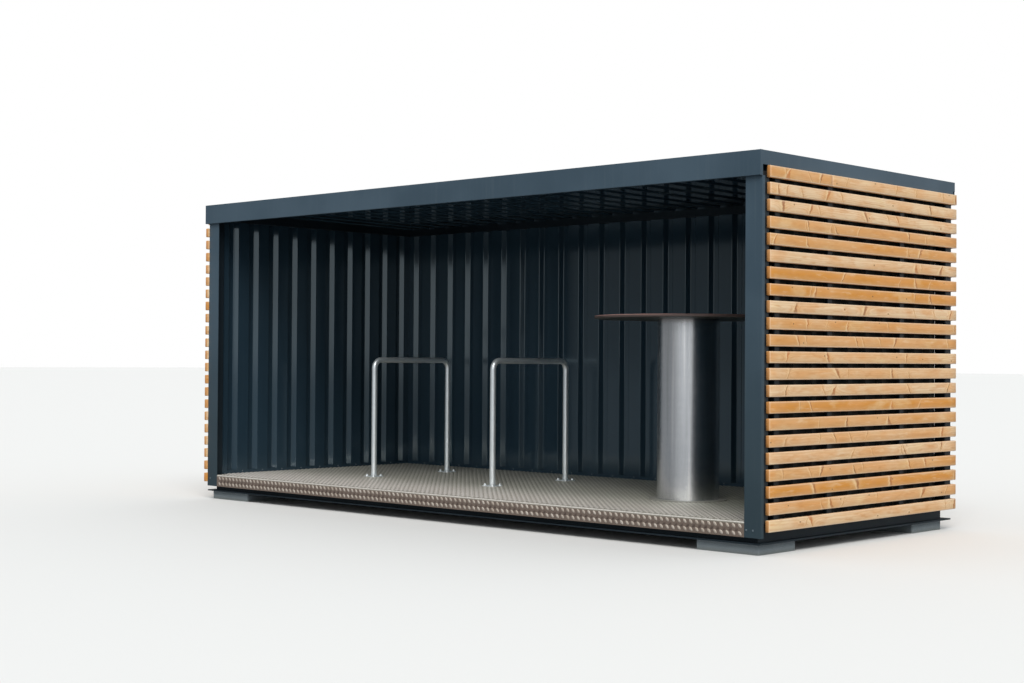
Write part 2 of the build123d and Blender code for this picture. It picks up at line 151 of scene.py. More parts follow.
ground_tone.inputs[7].default_value = ground_seen
ground_paint.node_tree.links.new(ground_rays.outputs["Is Camera Ray"], ground_tone.inputs[0])
ground_paint.node_tree.links.new(ground_tone.outputs[2], ground_shader.inputs["Base Color"])
ground_shader.inputs["Roughness"].default_value = 0.9
ground_shader.inputs["Specular IOR Level"].default_value = 0.2
ground_mesh.materials.append(ground_paint)


# Pads
# Four flat blocks of cast stone carry the corners of the base and lie loose on the ground.
# Their upper edges are bevelled in the mould and carry a painted highlight, and their feet are damp.
class Tone:
    """A value that varies over a surface. Arithmetic on tones adds Math nodes to their finish."""

    def __init__(self, finish, socket):
        self.finish = finish
        self.socket = socket

    def maths(self, operation, first, second=0.0):
        return self.finish.add("ShaderNodeMath", {"operation": operation}, [first, second])

    def __add__(self, other):
        return self.maths("ADD", self, other)

    __radd__ = __add__

    def __sub__(self, other):
        return self.maths("SUBTRACT", self, other)

    def __rsub__(self, other):
        return self.maths("SUBTRACT", other, self)

    def __mul__(self, other):
        return self.maths("MULTIPLY", self, other)

    __rmul__ = __mul__

    def __truediv__(self, other):
        return self.maths("DIVIDE", self, other)

    def __lt__(self, other):
        return self.maths("LESS_THAN", self, other)

    def __gt__(self, other):
        return self.maths("GREATER_THAN", self, other)

    def __mod__(self, other):
        return self.maths("FLOORED_MODULO", self, other)

    def __abs__(self):
        return self.maths("ABSOLUTE", self)

    def floor(self):
        return self.maths("FLOOR", self)

    def exponent(self):
        return self.maths("EXPONENT", self)

    def root(self):
        return self.maths("SQRT", self)

    def minimum(self, other):
        return self.maths("MINIMUM", self, other)

    def maximum(self, other):
        return self.maths("MAXIMUM", self, other)

    def rise(self, low, high):
        """0 below low, 1 above high and a smooth step between; falls where low is above high."""
        limits = {"Value": self, "From Min": low, "From Max": high}
        return self.finish.add("ShaderNodeMapRange", {"interpolation_type": "SMOOTHSTEP"}, limits)

    def between(self, colour, other):
        """The first colour where this tone is 0, the other where it is 1."""
        values = {0: self, 6: colour, 7: other}
        return self.finish.add("ShaderNodeMix", {"data_type": "RGBA"}, values, output=2)


class Finish:
    """A material as it is laid out: place is the point on the surface, shader the Principled shader."""

    def __init__(self, name):
        self.material = bpy.data.materials.new(name)
        self.material.use_nodes = True
        self.tree = self.material.node_tree
        self.shader = self.tree.nodes["Principled BSDF"]
        self.place = self.add("ShaderNodeTexCoord", {}, {}, "Object")
        parts = self.tree.nodes.new("ShaderNodeSeparateXYZ")
        self.tree.links.new(self.place.socket, parts.inputs[0])
        self.x, self.y, self.z = (Tone(self, parts.outputs[axis]) for axis in range(3))

    def add(self, kind, settings, values, output=0):
        """Any node: its settings come first, then the values or tones of its sockets."""
        node = self.tree.nodes.new(kind)
        for name, setting in settings.items():
            setattr(node, name, setting)
        for name, value in values.items() if isinstance(values, dict) else enumerate(values):
            self.feed(node.inputs[name], value)
        return Tone(self, node.outputs[output])

    def feed(self, socket, value):
        if isinstance(value, Tone):
            self.tree.links.new(value.socket, socket)
        elif isinstance(value, tuple) and len(value) == 3 and socket.type == "RGBA":
            socket.default_value = (*value, 1.0)
        else:
            socket.default_value = value

    def point(self, x, y, z):
        """Three tones or numbers as one point."""
        return self.add("ShaderNodeCombineXYZ", {}, [x, y, z])

    def cloud(self, scale, stretch=(1.0, 1.0, 1.0), detail=3.0, place=None):
        """Soft noise from 0 to 1, scale in cells a metre, stretched by three factors."""
        spot = self.add("ShaderNodeMapping", {}, {"Vector": place or self.place, "Scale": stretch})
        return self.add("ShaderNodeTexNoise", {}, {"Vector": spot, "Scale": scale, "Detail": detail})

    def luck(self, *spot):
        """Three chance numbers from 0 to 1 that hang on three tones or numbers."""
        chance = self.add("ShaderNodeTexWhiteNoise", {}, {"Vector": self.point(*spot)}, "Color")
        split = self.add("ShaderNodeSeparateColor", {}, [chance]).socket.node
        return [Tone(self, split.outputs[channel]) for channel in range(3)]

    def surface(self, bump=None, bump_height=0.001, **sockets):
        """Feeds the shader's sockets by name and the bump, whose height is in metres, to its normal."""
        for name, value in sockets.items():
            self.feed(self.shader.inputs[name.replace("_", " ")], value)
        if bump:
            normal = self.add("ShaderNodeBump", {}, {"Height": bump, "Distance": bump_height})
            self.feed(self.shader.inputs["Normal"], normal)
        return self.material


def dress(material, *names):
    """Gives CAD nodes their finish, by the start of their names."""
    for name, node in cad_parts.items():
        if name.startswith(names):
            for holder in node.material_slots:
                holder.material = material


pad_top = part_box("pad_front_left")[1].z
pad_bevel = 0.012
pad_splash = 0.03
stone = Finish("cast_stone")
stone_grain = stone.cloud(260.0, detail=4.0)
stone_patch = stone.cloud(7.0)
stone_cells = stone.add("ShaderNodeTexVoronoi", {}, {"Vector": stone.place, "Scale": 150.0})
stone_pores = stone_cells.rise(0.22, 0.08)
stone_base = stone_patch.between((0.210, 0.250, 0.270), (0.275, 0.310, 0.325))
stone_base = (stone_grain.rise(0.35, 0.7) * 0.40).between(stone_base, (0.150, 0.172, 0.178))
# Painted highlight: the bevelled upper edge is lighter.
stone_base = stone.z.rise(pad_top - pad_bevel, pad_top - 0.001).between(stone_base, (0.36, 0.41, 0.43))
stone_base = (stone_pores * 0.6).between(stone_base, (0.045, 0.048, 0.050))
stone_base = (stone.z.rise(pad_splash, 0.0) * 0.5).between(stone_base, (0.130, 0.135, 0.115))
dress(
    stone.surface(
        bump=stone_grain - stone_pores * 0.8,
        bump_height=0.0012,
        Base_Color=stone_base,
        Roughness=0.74 + stone_grain * 0.2,
        Specular_IOR_Level=0.3,
    ),
    "pad_",
)

# Frame
# Channels, joists, posts, ring beam, gutter and ledger are welded and bolted steel in dark satin paint.
# The fascias are folded from sheet in the lighter anthracite of the post covers.
def satin_paint(name, deep, light, dusty, low_darkening):
    """Sprayed paint: a slow cloud from the deep to the light colour, with rain streaks and dust.

    The last argument is how strongly the paint is darkened at the ground; this fades out towards the
    roof.
    """
    paint = Finish(name)
    streak = paint.cloud(1.0, stretch=(38.0, 38.0, 1.6), detail=4.0)
    dust = paint.cloud(48.0, detail=5.0)
    base = paint.cloud(1.7).rise(0.3, 0.7).between(deep, light)
    base = (streak.rise(0.52, 0.8) * 0.22).between(base, dusty)
    base = (dust.rise(0.62, 0.8) * 0.10).between(base, dusty)
    # Darker towards the ground.
    base = (paint.z.rise(1.9, 0.1) * low_darkening).between(base, (0.026, 0.042, 0.048))
    return paint.surface(
        bump=paint.cloud(620.0, detail=1.0),
        bump_height=0.00004,
        Base_Color=base,
        Roughness=0.36 + streak * 0.12 + dust * 0.06,
        Specular_IOR_Level=0.24,
        Specular_Tint=(0.78, 0.92, 1.0),
    )


dark_paint = satin_paint(
    "dark_frame_paint", (0.008, 0.013, 0.018), (0.013, 0.020, 0.027), (0.030, 0.036, 0.040), 0.1
)
dress(dark_paint, "sill_", "floor_joists", "post_", "ring_", "roof_gutter", "roof_ledger")
dress(dark_paint, "carriers_", "back_studs")
anthracite = satin_paint(
    "anthracite_paint", (0.050, 0.082, 0.112), (0.068, 0.106, 0.141), (0.105, 0.140, 0.165), 0.72
)
dress(anthracite, "fascia_", "post_cover")


# Floor plate
# Aluminium tread plate on the base, turned down over the front channel, its tears pressed from it.
# Painted highlight lies along the fold, and painted shade darkens the rear, the right side and the
# turned-down edge.
floor_low, floor_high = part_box("floor_plate")
post_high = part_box("post_front_right")[1]
cover_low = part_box("post_cover_right")[0]
flat_cover_low, flat_cover_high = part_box("post_cover_left")
plate = Finish("tread_metal")
plate_scuff = plate.cloud(90.0, stretch=(0.35, 1.0, 1.0), detail=5.0)
plate_grime = plate.cloud(16.0, detail=6.0).rise(0.46, 0.74)
flange_shade = plate.z.rise(floor_high.z - 0.011, floor_high.z - 0.017)
# Painted highlight along the fold at the front edge.
fold_highlight = plate.y.rise(floor_low.y + 0.0075, floor_low.y + 0.0045)
fold_highlight = fold_highlight * plate.z.rise(floor_high.z - 0.009, floor_high.z - 0.006)
fold_highlight = fold_highlight * (plate.cloud(75.0, stretch=(1.0, 0.3, 0.3)).rise(0.3, 0.6) * 0.4 + 0.6)
plate_base = plate.cloud(3.0, detail=5.0).between((0.33, 0.300, 0.255), (0.42, 0.385, 0.330))
plate_base = (plate_grime * 0.40).between(plate_base, (0.22, 0.195, 0.160))
# Painted shade: the plate darkens towards the rear and towards the right.
plate_shade = plate.y.rise(floor_low.y + 0.20, floor_low.y + 1.10) * 0.55 + plate.x.rise(0.6, 2.4) * 0.25
plate_base = plate_shade.between(plate_base, (0.17, 0.185, 0.130))
# Painted shade darkens the turned-down edge.
plate_base = (flange_shade * 0.90).between(plate_base, (0.190, 0.138, 0.110))
plate_base = (fold_highlight * 0.85).between(plate_base, (0.88, 0.85, 0.80))
dress(
    plate.surface(
        bump=plate_scuff,
        bump_height=0.00025,
        Base_Color=plate_base,
        Metallic=0.30 - flange_shade * 0.1,
        Roughness=0.42 + plate_grime * 0.16 + plate_scuff * 0.08 - fold_highlight * 0.10,
    ),
    "floor_plate",
)

tear_pitch = 0.0435
tear_length = 0.0335
tear_width = 0.0155
flange_tear_width = 0.0205
tear_height = 0.0025
tear_sink = 0.0003
tear_corners = 8
tear_margin = 0.017
first_tear = floor_high.x - 0.111
front_row = floor_low.y + 0.030
front_row_edge = floor_low.y + 0.024
flange_row = floor_high.z - 0.0265
flange_row_edges = (floor_low.z + 0.013, floor_high.z - 0.024)
overlap = 0.001  # keeps a tear on the seam of two grids out of one of them
eastward, northward, skyward = np.eye(3)


def tears(middles, turns, across, along, outward, width=tear_width):
    """Raised tears as low eight-sided domes.

    A tear's rim is the ellipse (length cos t, width sin t) pulled in towards its ends, t in eight
    steps. A smaller rim, shrunk to 0.74 by 0.5, stands on it at the tear's height and is closed by
    one face. middles are points on the plate, and turns are the angles from across to along.
    """
    t = np.arange(tear_corners) * 2 * np.pi / tear_corners
    rim = np.stack([tear_length / 2 * np.cos(t), width / 2 * np.sin(t) * (1 - 0.25 * np.cos(t) ** 2)])
    flat = np.concatenate([rim, rim * np.array([[0.74], [0.5]])], axis=1)
    rise = np.repeat([-tear_sink, tear_height], tear_corners)
    cosine, sine = np.cos(turns)[:, None], np.sin(turns)[:, None]
    first = flat[0] * cosine - flat[1] * sine
    second = flat[0] * sine + flat[1] * cosine
    points = middles[:, None, :] + first[..., None] * across + second[..., None] * along
    points = points + rise[None, :, None] * outward
    k = np.arange(tear_corners)
    after = (k + 1) % tear_corners
    walls = np.stack([k, after, after + tear_corners, k + tear_corners], axis=1)
    starts = np.arange(len(middles)) * 2 * tear_corners
    wall_faces = (starts[:, None, None] + walls[None]).reshape(-1, 4)
    tops = starts[:, None] + tear_corners + k[None]
    return points.reshape(-1, 3), wall_faces.tolist() + tops.tolist()


def new_piece(name, points, faces, material, crease=180.0):
    """A piece of the shelter in world coordinates, smooth but for edges past the crease angle."""
    mesh = bpy.data.meshes.new(name)
    mesh.from_pydata(np.asarray(points).tolist(), [], faces)
    mesh.polygons.foreach_set("use_smooth", np.full(len(mesh.polygons), True))
    mesh.set_sharp_from_angle(angle=math.radians(crease))
    mesh.materials.append(material)
    mesh.update()
    piece = bpy.data.objects.new(name, mesh)
    bpy.context.scene.collection.objects.link(piece)
    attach(piece, "root")
    return piece


def tear_grid(low, high, origin):
    """Middles of the tears inside a rectangle, and which way each is turned.

    Two square grids of one pitch, the first through the origin, the second moved half a pitch each
    way and turned the other way.
    """
    middles, turns = [], []
    for shift, turn in ((0.0, -np.pi / 4), (0.5, np.pi / 4)):
        spans = []
        for start, end, through in zip(low, high, origin):
            first = math.ceil((start - through) / tear_pitch - shift)
            last = math.floor((end - through) / tear_pitch - shift)
            spans.append(through + (np.arange(first, last + 1) + shift) * tear_pitch)
        grid = np.stack(np.meshgrid(*spans, indexing="ij"), axis=-1).reshape(-1, 2)
        middles.append(grid)
        turns.append(np.full(len(grid), turn))
    return np.concatenate(middles), np.concatenate(turns)


worn = Finish("tread_tear_metal")
worn_scuff = worn.cloud(120.0, detail=5.0)
worn_patch = worn.cloud(5.0)
# Painted shade: the tears darken towards the rear and towards the right.
tear_shade = worn.y.rise(floor_low.y + 0.12, floor_low.y + 0.95) * 0.62 + worn.x.rise(0.2, 2.4) * 0.28
worn_base = worn_patch.between((0.84, 0.78, 0.72), (0.97, 0.92, 0.87))
bright_tears = worn.surface(
    bump=worn_scuff,
    bump_height=0.0002,
    Base_Color=tear_shade.between(worn_base, (0.30, 0.315, 0.255)),
    Metallic=0.45,
    Roughness=0.27 + worn_scuff * 0.12,
)
# Painted light on the turned-down edge: tears turned one way are a lit copy, tears turned the other way
# a shaded copy, of one metal.
lit_copy_finish = Finish("lit_copy_tear_metal")
lit_copy_scuff = lit_copy_finish.cloud(120.0, detail=5.0)
lit_copy_patch = lit_copy_finish.cloud(9.0).rise(0.3, 0.7)
lit_copy_tears = lit_copy_finish.surface(
    bump=lit_copy_scuff,
    bump_height=0.0002,
    Base_Color=lit_copy_patch.between((0.46, 0.385, 0.315), (0.62, 0.550, 0.480)),
    Metallic=0.25,
    Roughness=0.40 + lit_copy_scuff * 0.12,
)
shaded_copy = Finish("shaded_copy_tear_metal")
shaded_copy_scuff = shaded_copy.cloud(120.0, detail=5.0)
shaded_copy_tears = shaded_copy.surface(
    bump=shaded_copy_scuff,
    bump_height=0.0002,
    Base_Color=shaded_copy.cloud(9.0).rise(0.3, 0.7).between((0.105, 0.076, 0.062), (0.160, 0.118, 0.096)),
    Metallic=0.10,
    Roughness=0.52 + shaded_copy_scuff * 0.12,
)
for side, limits in {"left": (-1.0, 0.0), "right": (0.0, 1.0)}.items():
    rear_edges = [limit * (floor_high.x - tear_margin) for limit in limits]
    front_edges = [limits[0] * -flat_cover_high.x, limits[1] * cover_low.x]
    front_edges = [edge - limit * tear_margin for edge, limit in zip(front_edges, limits)]
    origin = (first_tear, front_row)
    rear_middles, rear_turns = tear_grid(
        (rear_edges[0], post_high.y + tear_margin),
        (rear_edges[1] - overlap, floor_high.y - tear_margin),
        origin,
    )
    front_middles, front_turns = tear_grid(
        (front_edges[0], front_row_edge),
        (front_edges[1] - overlap, post_high.y + tear_margin - 0.1 * overlap),
        origin,
    )
    middles = np.concatenate([rear_middles, front_middles])
    middles = np.column_stack([middles, np.full(len(middles), floor_high.z)])
    turns = np.concatenate([rear_turns, front_turns])
    points, faces = tears(middles, turns, eastward, northward, skyward)
    new_piece(f"floor_tears_{side}", points, faces, bright_tears, crease=75.0)

flange_middles, flange_turns = tear_grid(
    (flat_cover_high.x + tear_margin, flange_row_edges[0]),
    (cover_low.x - tear_margin, flange_row_edges[1]),
    (first_tear, flange_row),
)
flange_middles = np.insert(flange_middles, 1, floor_low.y, axis=1)
# Tears turned one way get the painted lit copy, the others the painted shaded copy.
for painted_light, chosen, material in (
    ("lit_copy", flange_turns < 0, lit_copy_tears),
    ("shaded_copy", flange_turns > 0, shaded_copy_tears),
):
    points, faces = tears(
        flange_middles[chosen], flange_turns[chosen], eastward, skyward, -northward, flange_tear_width
    )
    new_piece(f"front_flange_tears_{painted_light}", points, faces, material, crease=75.0)


# Wall and roof sheets
# Trapezoidal steel sheet with a semi-gloss coating, screwed to the frame; small angles close its foot.
# The roof is the same sheet with its ribs up, and falls to the gutter at the back.
coat = Finish("coated_sheet")
coat_streak = coat.cloud(1.0, stretch=(30.0, 30.0, 0.8), detail=3.0)
coat_base = coat.cloud(1.3).between((0.018, 0.037, 0.056), (0.025, 0.050, 0.072))
coat_base = (coat_streak.rise(0.55, 0.85) * 0.10).between(coat_base, (0.045, 0.070, 0.090))
dark_sheet = coat.surface(
    bump=coat.cloud(1.8, stretch=(1.0, 1.0, 0.5), detail=1.0),
    bump_height=0.0008,
    Base_Color=coat_base,
    Roughness=0.07 + coat_streak * 0.05,
    Specular_IOR_Level=0.85,
    Specular_Tint=(0.76, 0.92, 1.0),
)
dress(dark_sheet, "wall_", "roof_sheet", "foot_trim_")
primer = Finish("sheet_back_primer")
primer_cloud = primer.cloud(8.0, detail=5.0)
back_primer = primer.surface(
    bump=primer_cloud,
    bump_height=0.0003,
    Base_Color=primer_cloud.between((0.010, 0.014, 0.014), (0.018, 0.023, 0.022)),
    Roughness=0.55 + primer_cloud * 0.15,
    Specular_IOR_Level=0.2,
)
sheet_thickness = 0.0015
rib_depth = 0.035
rib_rise = rib_depth - sheet_thickness
rib_crown = 0.040
rib_flank = 0.026
fold_radius = 0.0055
fold_steps = 6
fold_support = 0.0012


def ribbed_outline(reach, pitch):
    """Room side of a ribbed sheet as points (run, depth), and the sheet's angle at each.

    Corners lie at the flats and at the crowns. Each corner becomes an arc of the fold radius r: as
    the tangent's angle a goes from a0 to a1, a point is the arc's start plus
    r (sin a - sin a0, cos a0 - cos a), with r negative where the sheet turns back. A support point
    stands before and behind each arc, so that the flats shade flat.
    """
    foot = rib_crown / 2 + rib_flank
    count = int((reach - 2 * foot) // pitch) + 1
    middles = (np.arange(count) - (count - 1) / 2) * pitch
    runs = (middles[:, None] + np.array([-foot, -rib_crown / 2, rib_crown / 2, foot])).ravel()
    corners = np.column_stack([runs, np.tile([0.0, rib_rise, rib_rise, 0.0], count)])
    slope = math.atan2(rib_rise, rib_flank)
    before = np.tile([0.0, slope, 0.0, -slope], count)[:, None]
    after = np.tile([slope, 0.0, -slope, 0.0], count)[:, None]
    angle = before + (after - before) * np.linspace(0, 1, fold_steps)
    radius = np.sign(after - before) * fold_radius
    start = corners - fold_radius * math.tan(slope / 2) * np.hstack([np.cos(before), np.sin(before)])
    run = start[:, :1] + radius * (np.sin(angle) - np.sin(before))
    depth = start[:, 1:] + radius * (np.cos(before) - np.cos(angle))
    lead_in = start - fold_support * np.hstack([np.cos(before), np.sin(before)])
    run = np.hstack([lead_in[:, :1], run, run[:, -1:] + fold_support * np.cos(after)])
    depth = np.hstack([lead_in[:, 1:], depth, depth[:, -1:] + fold_support * np.sin(after)])
    angle = np.hstack([before, angle, after])
    outline = np.column_stack([run.ravel(), depth.ravel()])
    outline = np.vstack([[-reach / 2, 0.0], outline, [reach / 2, 0.0]])
    return outline, np.concatenate([[0.0], angle.ravel(), [0.0]])


def ribbed_sheet(name, pitch, middle, run, depth, length):
    """A ribbed sheet: its outline and the same outline one thickness deeper, carried along the length.

    middle is the middle of its lower edge, run the vector over its width, depth a unit vector into
    the ribs, and length the vector along them. Four strips of faces close its edges. The deeper
    face has the thin primer of the sheet's back.
    """
    run, depth, length = (np.array(vector, float) for vector in (run, depth, length))
    reach = np.linalg.norm(run)
    outline, angle = ribbed_outline(reach, pitch)
    outward = outline + sheet_thickness * np.column_stack([-np.sin(angle), np.cos(angle)])
    layers = []
    for face in (outline, outward):
        foot = np.array(middle, float) + face[:, :1] * run / reach + face[:, 1:] * depth
        layers += [foot, foot + length]
    points = np.concatenate(layers)
    n = len(outline)
    k = np.arange(n - 1)
    quads = np.concatenate([
        np.stack([k, k + 1, n + k + 1, n + k], axis=1),
        np.stack([2 * n + k + 1, 2 * n + k, 3 * n + k, 3 * n + k + 1], axis=1),
        np.stack([k, 2 * n + k, 2 * n + k + 1, k + 1], axis=1),
        np.stack([n + k, n + k + 1, 3 * n + k + 1, 3 * n + k], axis=1),
        np.array([[0, n, 3 * n, 2 * n], [n - 1, 3 * n - 1, 4 * n - 1, 2 * n - 1]]),
    ])
    sheet = new_piece(f"ribbed_{name}", points, quads.tolist(), dark_sheet, crease=40.0)
    sheet.data.materials.append(back_primer)
    primed = np.zeros(len(quads), dtype=np.int32)
    primed[n - 1:2 * n - 2] = 1
    sheet.data.polygons.foreach_set("material_index", primed)
    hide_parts(name)


back_pitch = 0.212
side_pitch = 0.199
roof_pitch = 0.207
wall_low, wall_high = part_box("wall_back")
wall_rise = (0.0, 0.0, wall_high.z - wall_low.z)
back_reach = wall_high.x - wall_low.x
back_foot = (0.0, wall_low.y, wall_low.z)
ribbed_sheet("wall_back", back_pitch, back_foot, (back_reach, 0, 0), (0, 1, 0), wall_rise)
side_low, side_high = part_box("wall_right")
side_reach = side_high.y - side_low.y
side_middle = (side_low.y + side_high.y) / 2
left_foot = (-side_low.x, side_middle, side_low.z)
right_foot = (side_low.x, side_middle, side_low.z)
ribbed_sheet("wall_left", side_pitch, left_foot, (0, side_reach, 0), (-1, 0, 0), wall_rise)
ribbed_sheet("wall_right", side_pitch, right_foot, (0, -side_reach, 0), (1, 0, 0), wall_rise)
roof_low, roof_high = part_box("roof_sheet")
roof_front_level = roof_high.z - rib_depth
ribbed_sheet(
    "roof_sheet",
    roof_pitch,
    (0.0, roof_low.y, roof_front_level),
    (roof_low.x - roof_high.x, 0, 0),
    (0, 0, 1),
    (0, roof_high.y - roof_low.y, roof_low.z - roof_front_level),
)


def screw_heads(middles, outward, radius, height):
    """Hexagon heads on round washers.

    Each is rings of twelve points at growing heights: the washer's rim, its top edge, the head's
    foot, its shoulder and its smaller crown, closed by one face. The head's rings are a hexagon,
    twelve points at the distance radius / cos(angle to the nearest flat).
    """
    steps = 12
    t = np.arange(steps) * 2 * np.pi / steps
    flat = (t + np.pi / 6) % (np.pi / 3) - np.pi / 6
    hexagon = radius * 0.93 / np.cos(flat)
    circle = np.full(steps, 1.0)
    rings = [(circle * radius * 1.7, 0.0), (circle * radius * 1.6, 0.16), (hexagon, 0.18)]
    rings += [(hexagon, 0.86), (hexagon * 0.82, 1.0)]
    outward = np.asarray(outward, float)
    side = eastward if abs(outward[0]) < 0.5 else northward
    third = np.cross(outward, side)
    ring_points = []
    for reach, rise in rings:
        around = reach[:, None] * (np.cos(t)[:, None] * side + np.sin(t)[:, None] * third)
        ring_points.append(around + outward * rise * height)
    one = np.concatenate(ring_points)
    points = np.asarray(middles)[:, None, :] + one[None]
    k = np.arange(steps)
    quads = []
    for ring in range(len(rings) - 1):
        low, high = ring * steps, (ring + 1) * steps
        after = (k + 1) % steps
        quads.append(np.stack([low + k, low + after, high + after, high + k], axis=1))
    quads = np.concatenate(quads)
    starts = np.arange(len(points)) * len(one)
    walls = (starts[:, None, None] + quads[None]).reshape(-1, 4).tolist()
    crowns = (starts[:, None] + (len(rings) - 1) * steps + k[None]).tolist()
    return points.reshape(-1, 3), walls + crowns


painted_head = Finish("painted_screw_heads")
head_fleck = painted_head.cloud(500.0)
painted_heads = painted_head.surface(
    bump=head_fleck,
    bump_height=0.0001,
    Base_Color=head_fleck.between((0.090, 0.125, 0.150), (0.130, 0.170, 0.195)),
    Roughness=0.42 + head_fleck * 0.1,
)
trim_back_low, trim_back_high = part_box("foot_trim_back")
trim_right_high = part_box("foot_trim_right")[1]
trim_thickness = 0.002
wall_screw_radius = 0.0036
wall_screw_height = 0.0040
wall_screw_lift = 0.002  # over the middle of the trim
screw_level = (trim_back_low.z + trim_back_high.z) / 2 + wall_screw_lift
back_flat_count = 23
side_flat_count = 9
back_flats = (np.arange(back_flat_count) - back_flat_count // 2) * back_pitch
back_places = [(flat, trim_back_high.y - trim_thickness, screw_level) for flat in back_flats]
points, faces = screw_heads(back_places, (0, -1, 0), wall_screw_radius, wall_screw_height)
new_piece("back_wall_screws", points, faces, painted_heads, crease=30.0)
side_flats = side_middle + (np.arange(side_flat_count) - side_flat_count // 2) * side_pitch
for side, name in ((-1, "left"), (1, "right")):
    trim_face = side * (trim_right_high.x - trim_thickness)
    side_places = [(trim_face, flat, screw_level) for flat in side_flats]
    points, faces = screw_heads(side_places, (-side, 0, 0), wall_screw_radius, wall_screw_height)
    new_piece(f"{name}_wall_screws", points, faces, painted_heads, crease=30.0)

# Post covers
# Sheet in the fascias' anthracite, folded round the right front post and laid flat on the left one.
# It laps over the front channel, where small painted screws hold it.
cover_screw_radius = 0.0040
cover_screw_height = 0.0036
flat_cover_screw = (0.034, 0.059)  # from the cover's left edge and from its foot
folded_cover_screws = ((0.014, 0.042), (0.060, 0.042))
cover_screws = [(flat_cover_low.x + flat_cover_screw[0], cover_low.y, cover_low.z + flat_cover_screw[1])]
cover_screws += [(cover_low.x + over, cover_low.y, cover_low.z + up) for over, up in folded_cover_screws]
points, faces = screw_heads(cover_screws, (0, -1, 0), cover_screw_radius, cover_screw_height)
new_piece("post_cover_screws", points, faces, painted_heads, crease=30.0)


# Battens
# Planed softwood boards with eased edges, oiled, in 22 rows with open gaps.
# They are screwed from behind to the uprights. The back has two lengths that meet in the middle.
board_rows = 22
board_height = 0.068
board_low, board_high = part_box("battens_right")
left_low, left_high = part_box("battens_left")
board_pitch = (board_high.z - board_low.z - board_height) / (board_rows - 1)
board_ease = 0.0038
board_stations = 26
wave_depth, wave_rate = 0.0006, 1.9  # metres, and radians for each metre of the run
sway_height, sway_rate = 0.0007, 1.3


def boards(starts, ends, levels, face, thickness, seed):
    """Eased boards along the first axis, as (run, out, up) points.

    A board's section is a rectangle whose corners are quarter circles, three points each, carried
    along its run. The end sections are drawn in by the ease. The outer face wanders inwards and up
    and down by less than a millimetre, as two slow sine waves with a phase of its own.
    """
    angles = np.radians([0, 45, 90])
    corners = []
    for quarter, (side, rise) in enumerate(((1, 1), (-1, 1), (-1, -1), (1, -1))):
        turn = angles + quarter * np.pi / 2
        out = side * (thickness / 2 - board_ease) + board_ease * np.cos(turn)
        up = rise * (board_height / 2 - board_ease) + board_ease * np.sin(turn)
        corners.append(np.stack([out, up], axis=1))
    section = np.concatenate(corners)
    run = np.linspace(0, 1, board_stations)
    run = np.concatenate([[0.0], run, [1.0]])
    drawn = np.ones(len(run))
    drawn[[0, -1]] = 0.0
    chance = np.random.default_rng(seed)
    phase = chance.uniform(0, 2 * np.pi, (len(starts), 2))
    length = np.asarray(ends) - np.asarray(starts)
    along = np.asarray(starts)[:, None] + length[:, None] * run[None]
    along[:, 1] = along[:, 0] + board_ease
    along[:, -2] = along[:, -1] - board_ease
    wave = wave_depth * (np.sin(along * wave_rate + phase[:, :1]) - 1) * drawn
    sway = sway_height * np.sin(along * sway_rate + phase[:, 1:])
    end_scale = 1 - 2 * board_ease / np.array([thickness, board_height])
    scale = np.where(drawn[:, None, None] > 0, 1.0, end_scale)
    ring = section[None] * scale
    out = face - thickness / 2 + ring[None, :, :, 0] + wave[..., None]
    up = np.asarray(levels)[:, None, None] + ring[None, :, :, 1] + sway[..., None]
    along = np.broadcast_to(along[..., None], out.shape)
    points = np.stack([along, out, up], axis=-1)
    rings, around = len(run), len(section)
    j, k = np.meshgrid(np.arange(rings - 1), np.arange(around), indexing="ij")
    after = (k + 1) % around
    ring_start, next_start = j * around, (j + 1) * around
    quads = [ring_start + k, next_start + k, next_start + after, ring_start + after]
    quads = np.stack(quads, axis=-1).reshape(-1, 4)
    first = np.arange(len(starts)) * rings * around
    sides = (first[:, None, None] + quads[None]).reshape(-1, 4).tolist()
    start_caps = (first[:, None] + np.arange(around)[None]).tolist()
    end_caps = (first[:, None] + (rings - 1) * around + np.arange(around)[::-1][None]).tolist()
    return points.reshape(-1, 3), sides + start_caps + end_caps


